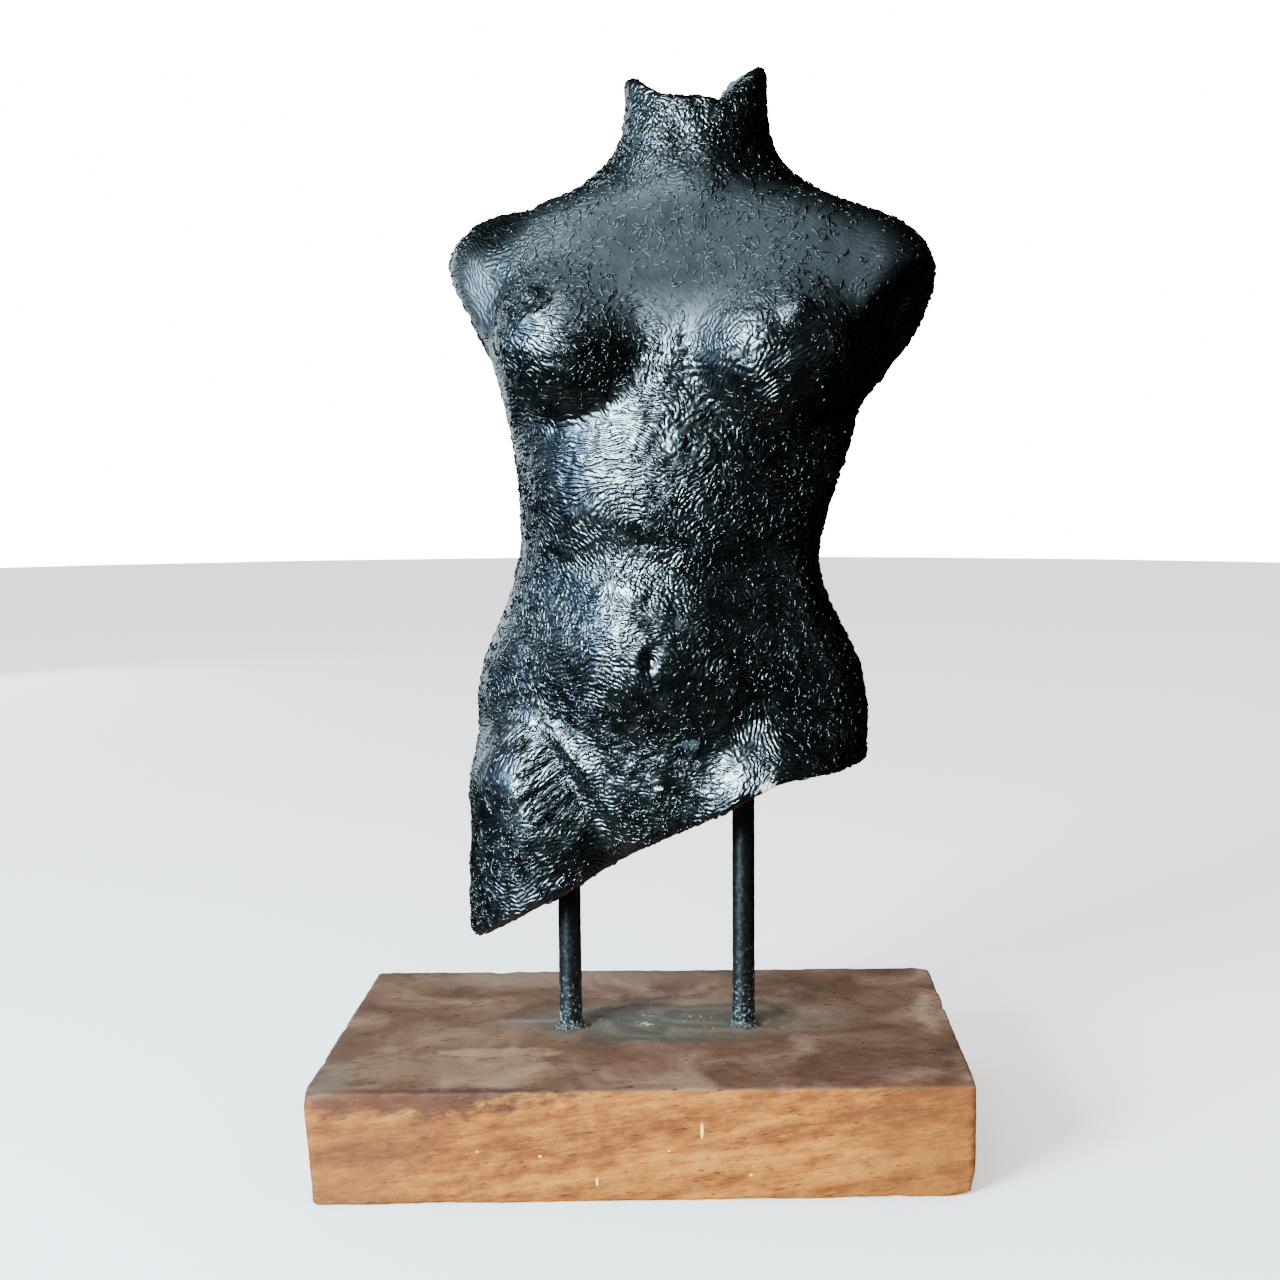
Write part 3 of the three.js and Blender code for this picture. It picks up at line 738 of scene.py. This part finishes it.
def oiled_wood():
    """Old oiled hardwood. To the eye it is warm and streaked at the sides, dull and dusty on top, with
    dark pores, stains, a darkening of the front towards both ends, grey swirls of wiped glue, pale grit
    and a few flecks laid over it in turn."""
    material, tree = new_tree("oiled_hardwood")
    place = add(tree, "TexCoord").outputs["Object"]
    grain = add(tree, "Mapping", {
        "Vector": place, "Rotation": GRAIN_TILT, "Scale": (GRAIN_STRETCH, 2.0, 1.0)}, vector_type="TEXTURE")
    figure = add(tree, "TexNoise", {
        "Vector": grain, "Scale": per(13), "Detail": 3.0, "Roughness": 0.5, "Distortion": 1.2})
    fibres = add(tree, "TexNoise", {"Vector": grain, "Scale": per(1.1), "Detail": 4.0, "Roughness": 0.7})
    mottle = add(tree, "Mapping", {
        "Vector": place, "Rotation": GRAIN_TILT, "Scale": (2.2, 1.25, 1.0)}, vector_type="TEXTURE")
    mottle = add(tree, "TexNoise", {"Vector": mottle, "Scale": per(5), "Detail": 6.0, "Roughness": 0.7})
    dashes = add(tree, "Mapping", {
        "Vector": place, "Rotation": GRAIN_TILT, "Scale": (6.0, 2.0, 1.0)}, vector_type="TEXTURE")
    dashes = add(tree, "TexNoise", {"Vector": dashes, "Scale": per(1.0), "Detail": 2.0, "Roughness": 0.6})
    cloud = add(tree, "TexNoise", {"Vector": place, "Scale": per(34), "Detail": 4.0, "Distortion": 0.8})
    streak = add(tree, "Math", {0: fibres, 1: 0.25}, operation="MULTIPLY")
    streak = add(tree, "Math", {0: mottle, 1: 0.5, 2: streak}, operation="MULTIPLY_ADD")
    streak = add(tree, "Math", {0: figure, 1: 0.4, 2: streak}, operation="MULTIPLY_ADD")
    side = add(tree, "ValToRGB", {"Fac": streak}, (
        (0.4, "#4c240d"), (0.52, "#6d370e"), (0.6, "#864b12"), (0.7, "#9c6020")))
    top = add(tree, "ValToRGB", {"Fac": cloud}, (
        (0.3, "#3f271a"), (0.45, "#523524"), (0.55, "#624433"), (0.7, "#7f624d")))
    top_fibres = add(tree, "MapRange", {"Value": streak, "From Min": 0.4, "From Max": 0.7, "To Max": 0.5})
    top = add(tree, "Mix", {0: top_fibres, 6: top, 7: linear("#4a2f1e")}, data_type="RGBA")
    facing = add(tree, "SeparateXYZ", {0: add(tree, "NewGeometry").outputs["Normal"]}).outputs["Z"]
    is_top = add(tree, "MapRange", {"Value": facing, "From Min": 0.35, "From Max": 0.8})
    colour = add(tree, "Mix", {0: is_top, 6: side, 7: top}, data_type="RGBA")
    pores = add(tree, "MapRange", {"Value": dashes, "From Min": 0.38, "From Max": 0.3, "To Max": 0.75})
    colour = add(tree, "Mix", {0: pores, 6: colour, 7: linear("#2a1509")}, data_type="RGBA")
    for centre, half, mark_colour, strength, ragged in WOOD_MARKS:
        reach = reach_of(tree, place, centre, half)
        reach = add(tree, "Math", {0: mottle, 1: ragged * 2, 2: reach}, operation="MULTIPLY_ADD")
        rim = (0.35 + ragged, 1.0 + ragged)
        colour = lay_mark(tree, colour, reach, rim, strength, mark_colour, interpolation_type="SMOOTHSTEP")
    whirl = reach_of(tree, place, (20, 10, 44), (88, 36, 200))
    bent = add(tree, "Math", {0: cloud, 1: 1.2, 2: whirl}, operation="MULTIPLY_ADD")
    lines = add(tree, "Math", {0: bent, 1: SWIRL_DENSITY}, operation="MULTIPLY")
    lines = add(tree, "Math", {0: lines}, operation="SINE")
    near = add(tree, "MapRange", {"Value": whirl, "From Min": 1.3, "From Max": 0.7, "To Max": 0.18})
    lines = add(tree, "MapRange", {"Value": lines, "From Min": -0.6, "From Max": 1.2})
    swirls = add(tree, "Math", {0: lines, 1: near}, operation="MULTIPLY")
    swirls = add(tree, "Math", {0: swirls, 1: is_top}, operation="MULTIPLY")
    colour = add(tree, "Mix", {0: swirls, 6: colour, 7: linear("#77695b")}, data_type="RGBA")
    specks = add(tree, "TexVoronoi", {"Vector": place, "Scale": per(1.5)}).outputs["Distance"]
    grit_reach = reach_of(tree, place, GRIT_MIDDLE, GRIT_HALF)
    limit = add(tree, "MapRange", {
        "Value": grit_reach, "From Min": 0.4, "From Max": 1.5, "To Min": 0.75, "To Max": 0.0})
    scattered = add(tree, "MapRange", {"Value": mottle, "From Min": 0.48, "From Max": 0.68, "To Max": 0.75})
    limit = add(tree, "Math", {0: scattered, 1: limit}, operation="MULTIPLY")
    grit = add(tree, "Math", {0: limit, 1: specks}, operation="SUBTRACT")
    grit = add(tree, "MapRange", {"Value": grit, "From Min": 0.0, "From Max": 0.04, "To Max": 0.8})
    grit = add(tree, "Math", {0: grit, 1: is_top}, operation="MULTIPLY")
    colour = add(tree, "Mix", {0: grit, 6: colour, 7: linear("#9d9072")}, data_type="RGBA")
    for centre, half in FLECKS:
        colour = lay_mark(tree, colour, reach_of(tree, place, centre, half), (0.8, 1.2), 1.0, "#c9ab62")
    rough = add(tree, "MapRange", {
        "Value": mottle, "From Min": 0.3, "From Max": 0.7, "To Min": 0.5, "To Max": 0.75})
    bump = add(tree, "Bump", {"Strength": 0.8, "Distance": 0.5 * MM, "Height": streak})
    shader = add(tree, "BsdfPrincipled", {
        "Base Color": colour, "Roughness": rough, "IOR": 1.46, "Specular IOR Level": 0.25, "Normal": bump})
    add(tree, "OutputMaterial", {"Surface": shader})
    return material


wood = oiled_wood()
print("Streaks are", GRAIN_STRETCH, "times as long as they are wide")

# %% [markdown]
# The block is one surface. A point that walks round a rectangle, turning a quarter at each corner,
# gives a ring; rings climb the sides, round the edges, and shrink to one point on the top and below.

# %% The block of the plinth
PLINTH_CORNER = 3.0
PLINTH_EDGE = 1.8
PLINTH_UNDERCUT = 2.8  # the left end leans in by this much towards the floor
PLINTH_COLUMNS = 760
# place, size and depth of dents along the edges, in millimetres
CHIPS = (
    ((51.6, -76, 44), 2.2, 1.1), ((56, -76, 44), 1.6, 0.6), ((-126, -75, 44), 5, 1.3),
    ((-112, -76, 44), 3, 0.5), ((-97, -76, 44), 2.5, 0.6), ((-84, -76, 44), 3, 0.4),
    ((-61, -76, 44), 2, 0.5), ((-30, -76, 44), 2.5, 0.4),
    ((8, -76, 44), 2, 0.35), ((84, -76, 44), 2.5, 0.4), ((127, -76, 0), 7, 2.2), ((96, -76, 0), 3, 0.6),
    ((-124, 0, 44), 4, 0.7), ((-126, -40, 44), 3, 0.6), ((127, 20, 44), 4, 0.6), ((40, 76, 44), 3, 0.6),
    ((-70, 76, 44), 4, 0.8), ((126, 76, 44), 4, 0.9), ((-20, 76, 0), 4, 0.7), ((127, -20, 0), 3, 0.6),
)
EDGE_ARC = 5
FACE_RINGS = 40
SIDE_RINGS = 34
plinth_size = plinth_high - plinth_low


def rounded_rectangle(width, depth, radius, count):
    """Points on the rectangle of the corners' middles, and the direction faced at each: along a side
    the point moves and faces out, and at a corner it stays and turns a quarter."""
    x, y = width / 2 - radius, depth / 2 - radius
    middle_x = (x, x, x, -x, -x, -x, -x, x, x)
    middle_y = (-y, y, y, y, y, -y, -y, -y, -y)
    faced = np.radians((0, 0, 90, 90, 180, 180, 270, 270, 360))
    quarter = radius * np.pi / 2
    marks = np.cumsum([0] + [2 * y, quarter, 2 * x, quarter] * 2)
    travel = np.linspace(0, marks[-1], count, endpoint=False)
    core = np.stack([np.interp(travel, marks, middle_x), np.interp(travel, marks, middle_y)], -1)
    turn = np.interp(travel, marks, faced)
    return core, np.stack([np.cos(turn), np.sin(turn)], -1)


def block_rings():
    """The block's rings from below to the top: an inset from the sides, a height and a shrinking."""
    height = plinth_size[2]
    arc = np.linspace(0, np.pi / 2, EDGE_ARC + 1)
    inset = PLINTH_EDGE * (1 - np.sin(arc))
    rise = PLINTH_EDGE * (1 - np.cos(arc))
    side = np.linspace(PLINTH_EDGE, height - PLINTH_EDGE, SIDE_RINGS)[1:-1]
    face = np.linspace(0, 1, FACE_RINGS + 1)[1:-1]
    insets = np.concatenate([
        np.full(FACE_RINGS - 1, PLINTH_EDGE), inset, 0 * side, inset[::-1],
        np.full(FACE_RINGS - 1, PLINTH_EDGE)])
    heights = np.concatenate([0 * face, rise, side, height - rise[::-1], 0 * face + height])
    shrink = np.concatenate([face, np.ones(2 * len(arc) + len(side)), face[::-1]])
    core, outer = rounded_rectangle(plinth_size[0], plinth_size[1], PLINTH_CORNER, PLINTH_COLUMNS)
    ring = core[None] + (PLINTH_CORNER - insets)[:, None, None] * outer[None]
    ring = ring * shrink[:, None, None]
    level = np.broadcast_to(heights[:, None, None], ring.shape[:2] + (1,))
    rings = np.concatenate([ring, level], -1)
    leftward = np.clip(-2 * rings[..., 0] / plinth_size[0], 0, 1)
    rings[..., 0] += PLINTH_UNDERCUT * (1 - rings[..., 2] / height) * leftward
    middle = (plinth_low + plinth_high) / 2
    return rings + np.array([middle[0], middle[1], plinth_low[2]])


block = block_rings()
block_normals = outward(block)
wear = 0.12 * ripple(block, 30, 21) + 0.06 * ripple(block, 7, 22) - 0.15
for centre, size, depth in CHIPS:
    wear -= depth * hump(np.linalg.norm(block - np.array(centre), axis=-1), 0, size)
block = block + wear[..., None] * block_normals
block = np.clip(block, plinth_low, plinth_high)
middle_of = [np.array([*((plinth_low + plinth_high) / 2)[:2], z]) for z in (plinth_low[2], plinth_high[2])]
plinth = make_piece("worn_plinth", *closed_surface(middle_of[0], block, middle_of[1]), wood)
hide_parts("plinth")

# %% [markdown]
# The rods are plain steel bar under the same black paint, thinner here. Drips and grit make them a
# little uneven, more so near the foot.

# %% Painted rods
ROD_COLUMNS = 48
ROD_RINGS = 260
ROD_MARGIN = 0.12  # keeps the grit within the fixed model's radius


def rod_paint():
    """Thin black paint on steel. To the eye it is a smooth dark gloss, worn to pale grey specks near
    the foot, where grit also makes it rougher."""
    material, tree = new_tree("black_painted_steel")
    place = add(tree, "TexCoord").outputs["Object"]
    grit = add(tree, "TexNoise", {"Vector": place, "Scale": per(1.6), "Detail": 4.0, "Roughness": 0.65})
    height = add(tree, "SeparateXYZ", {0: place}).outputs["Z"]
    wear = add(tree, "MapRange", {
        "Value": height, "From Min": 0.05, "From Max": 0.085, "To Min": 0.04, "To Max": -0.12})
    wear = add(tree, "Math", {0: grit, 1: wear}, operation="ADD")
    colour = add(tree, "ValToRGB", {"Fac": wear}, ((0.4, "#030405"), (0.58, "#080a0b"), (0.7, "#6b777b")))
    rough = add(tree, "MapRange", {
        "Value": grit, "From Min": 0.35, "From Max": 0.7, "To Min": 0.28, "To Max": 0.55})
    bump = add(tree, "Bump", {"Strength": 0.6, "Distance": 0.2 * MM, "Height": grit})
    shader = add(tree, "BsdfPrincipled", {
        "Base Color": colour, "Roughness": rough, "IOR": 1.5, "Normal": bump})
    add(tree, "OutputMaterial", {"Surface": shader})
    return material


def glue_crust():
    """Old glue with dust and grit in it. To the eye it is a matt grey brown crust with pale grains."""
    material, tree = new_tree("dusty_glue")
    place = add(tree, "TexCoord").outputs["Object"]
    grains = add(tree, "TexNoise", {"Vector": place, "Scale": per(1.1), "Detail": 3.0, "Roughness": 0.7})
    colour = add(tree, "ValToRGB", {"Fac": grains}, ((0.4, "#0e0d0b"), (0.55, "#2c2922"), (0.7, "#857c68")))
    bump = add(tree, "Bump", {"Strength": 1.0, "Distance": 0.5 * MM, "Height": grains})
    shader = add(tree, "BsdfPrincipled", {
        "Base Color": colour, "Roughness": 0.7, "IOR": 1.5, "Normal": bump})
    add(tree, "OutputMaterial", {"Surface": shader})
    return material


steel_paint = rod_paint()
old_glue = glue_crust()
ring_angle = np.arange(ROD_COLUMNS) / ROD_COLUMNS * 2 * np.pi
round_ring = np.stack([np.cos(ring_angle), np.sin(ring_angle)], -1)


def tube(axis, heights, radii):
    """Rings round an upright axis, one for each height, with a radius for each point."""
    flat_ring = axis + radii[..., None] * round_ring
    level = np.broadcast_to(heights[:, None, None], flat_ring.shape[:2] + (1,))
    return np.concatenate([flat_ring, level], -1)


for seed, side in enumerate(ROD_SIDES):
    low, high = rod_boxes[side]
    heights = np.linspace(low[2], high[2], ROD_RINGS)
    plain = tube(rod_axes[side], heights, np.full((ROD_RINGS, ROD_COLUMNS), rod_radius - ROD_MARGIN))
    grit = 0.03 + 0.06 * hump(heights[:, None], plinth_top, 18)
    lumps = grit * ripple(plain, 5, 31 + seed)
    rings = tube(rod_axes[side], heights, rod_radius - ROD_MARGIN + lumps)
    ends = [np.array([*rod_axes[side], z]) for z in (low[2], high[2])]
    rod = make_piece(f"painted_rod_{side}", *closed_surface(ends[0], rings, ends[1]), steel_paint)
    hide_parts(f"support_rod_{side}")

# %% [markdown]
# A collar of old glue was daubed round the foot of each rod. Its section is a curve that falls steeply
# beside the rod and runs out flat on the wood, and its reach waves as it goes round.

# %% Collars of glue at the feet of the rods
COLLAR_RINGS = 22
COLLAR_REACH = 2.6
COLLAR_HEIGHT = 2.4
COLLAR_OVERLAP = 0.4  # how far it reaches into the rod


def collar(axis, seed):
    """A closed ring round a rod: its upper side falls from the rod to the wood as a power of the
    distance, its reach waves round the rod, and its under side lies just inside the wood."""
    share = np.linspace(0, 1, COLLAR_RINGS)[:, None]
    wave = 1 + 0.25 * np.cos(2 * ring_angle + seed) + 0.18 * np.cos(3 * ring_angle - 2 * seed)
    reach = COLLAR_REACH * wave
    radius = rod_radius - COLLAR_OVERLAP + share * (reach + COLLAR_OVERLAP)
    height = plinth_top - 0.1 + COLLAR_HEIGHT * (1 - share) ** 2.2 + 0.25 * share * (1 - share)
    top = np.concatenate([axis + radius[..., None] * round_ring, (height + 0 * radius)[..., None]], -1)
    top[..., 2] += 0.3 * ripple(top, 2.6, seed + 40) * np.minimum(4 * share * (1 - share), 1)
    under = top[::-1].copy()
    under[..., 2] = plinth_top - 0.5
    return np.concatenate([top, under])[::-1]


for seed, side in enumerate(ROD_SIDES):
    rings = collar(rod_axes[side], seed)
    quads = grid_faces(len(rings) + 1, ROD_COLUMNS) % (len(rings) * ROD_COLUMNS)
    glue = make_piece(f"glue_collar_{side}", rings.reshape(-1, 3), quads, np.zeros((0, 3), int), old_glue)

# %% [markdown]
# A plain pale floor carries the plinth. It is a disc so wide that its rim is far away in every view.

# %% Floor
floor_rings = np.array([0.02, 0.2, 1.0, 4.0]) / MM
floor_points = np.concatenate([np.zeros((1, 2)), (floor_rings[:, None, None] * round_ring).reshape(-1, 2)])
floor_points = np.concatenate([floor_points, np.zeros((len(floor_points), 1))], -1)
column = np.arange(ROD_COLUMNS)
floor_fan = np.stack([0 * column, column + 1, (column + 1) % ROD_COLUMNS + 1], -1)
floor_material, tree = new_tree("matt_pale_floor")
floor_shader = add(tree, "BsdfPrincipled", {"Base Color": linear("#f2f1ef"), "Roughness": 0.9})
add(tree, "OutputMaterial", {"Surface": floor_shader})
floor_quads = grid_faces(len(floor_rings), ROD_COLUMNS, 1)[:, ::-1]
floor_mesh = bpy.data.meshes.new("floor")
floor_mesh.from_pydata((floor_points * MM).tolist(), [], floor_quads.tolist() + floor_fan.tolist())
floor_mesh.materials.append(floor_material)
floor = bpy.data.objects.new("floor", floor_mesh)
bpy.context.collection.objects.link(floor)
floor.visible_glossy = False  # the gloss mirrors a dark room, as in the photograph

# %% [markdown]
# The photograph was taken beside a window in an otherwise dark room. One cool light from the left front
# draws every wrinkle, and a bluer pane beside it tints the near flank. A dim window behind on the left
# gives that side a rim, a narrow one far right a few glints, and two weak lights overhead and at the
# left lift the block's top. The background is white for the camera, but hardly mirrored by the gloss.

# %% Lights and background
def soft_light(name, place, target, size, watts, colour):
    """A rectangular light at a place, turned to face a target; sizes in metres."""
    data = bpy.data.lights.new(name, "AREA")
    data.shape = "RECTANGLE"
    data.size, data.size_y = size
    data.energy = watts
    data.color = linear(colour)[:3]
    light = bpy.data.objects.new(name, data)
    light.location = place
    light.visible_camera = False
    toward = Vector(target) - Vector(place)
    light.rotation_euler = toward.to_track_quat("-Z", "Y").to_euler()
    bpy.context.collection.objects.link(light)


soft_light("window", (-0.87, -0.96, 0.56), (0, 0, 0.25), (0.46, 0.5), 112, "#c2e4f2")
soft_light("blue_pane", (-1.25, -0.52, 0.55), (0, 0, 0.25), (0.3, 0.5), 15, "#7fb4ee")
soft_light("back_window", (-1.1, 1.25, 0.5), (0, 0, 0.25), (1.0, 0.9), 11, "#cfe4f4")
soft_light("far_window", (1.15, -0.6, 0.5), (0, 0, 0.25), (0.12, 0.4), 0.35, "#e4f0ff")
soft_light("skylight", (-0.55, -0.75, 1.35), (0, 0, 0.3), (0.8, 0.5), 2.5, "#dcf0f0")
soft_light("pale_wall", (-1.7, 0.35, 0.8), (0, 0, 0.25), (2.0, 1.6), 3.5, "#bfe0f4")
world = bpy.data.worlds.new("pale_room")
bpy.context.scene.world = world
world.use_nodes = True
tree = world.node_tree
tree.nodes.clear()
ray = add(tree, "LightPath").outputs
brightness = 0.0
for seen_by, strength in (("Is Camera Ray", 16.0), ("Is Diffuse Ray", 2.2), ("Is Glossy Ray", 0.006)):
    brightness = add(tree, "Math", {0: ray[seen_by], 1: strength, 2: brightness}, operation="MULTIPLY_ADD")
sky = add(tree, "Background", {"Color": linear("#ffffff"), "Strength": brightness})
add(tree, "OutputWorld", {"Surface": sky})

# %% Bring the scene up to date
bpy.context.view_layer.update()
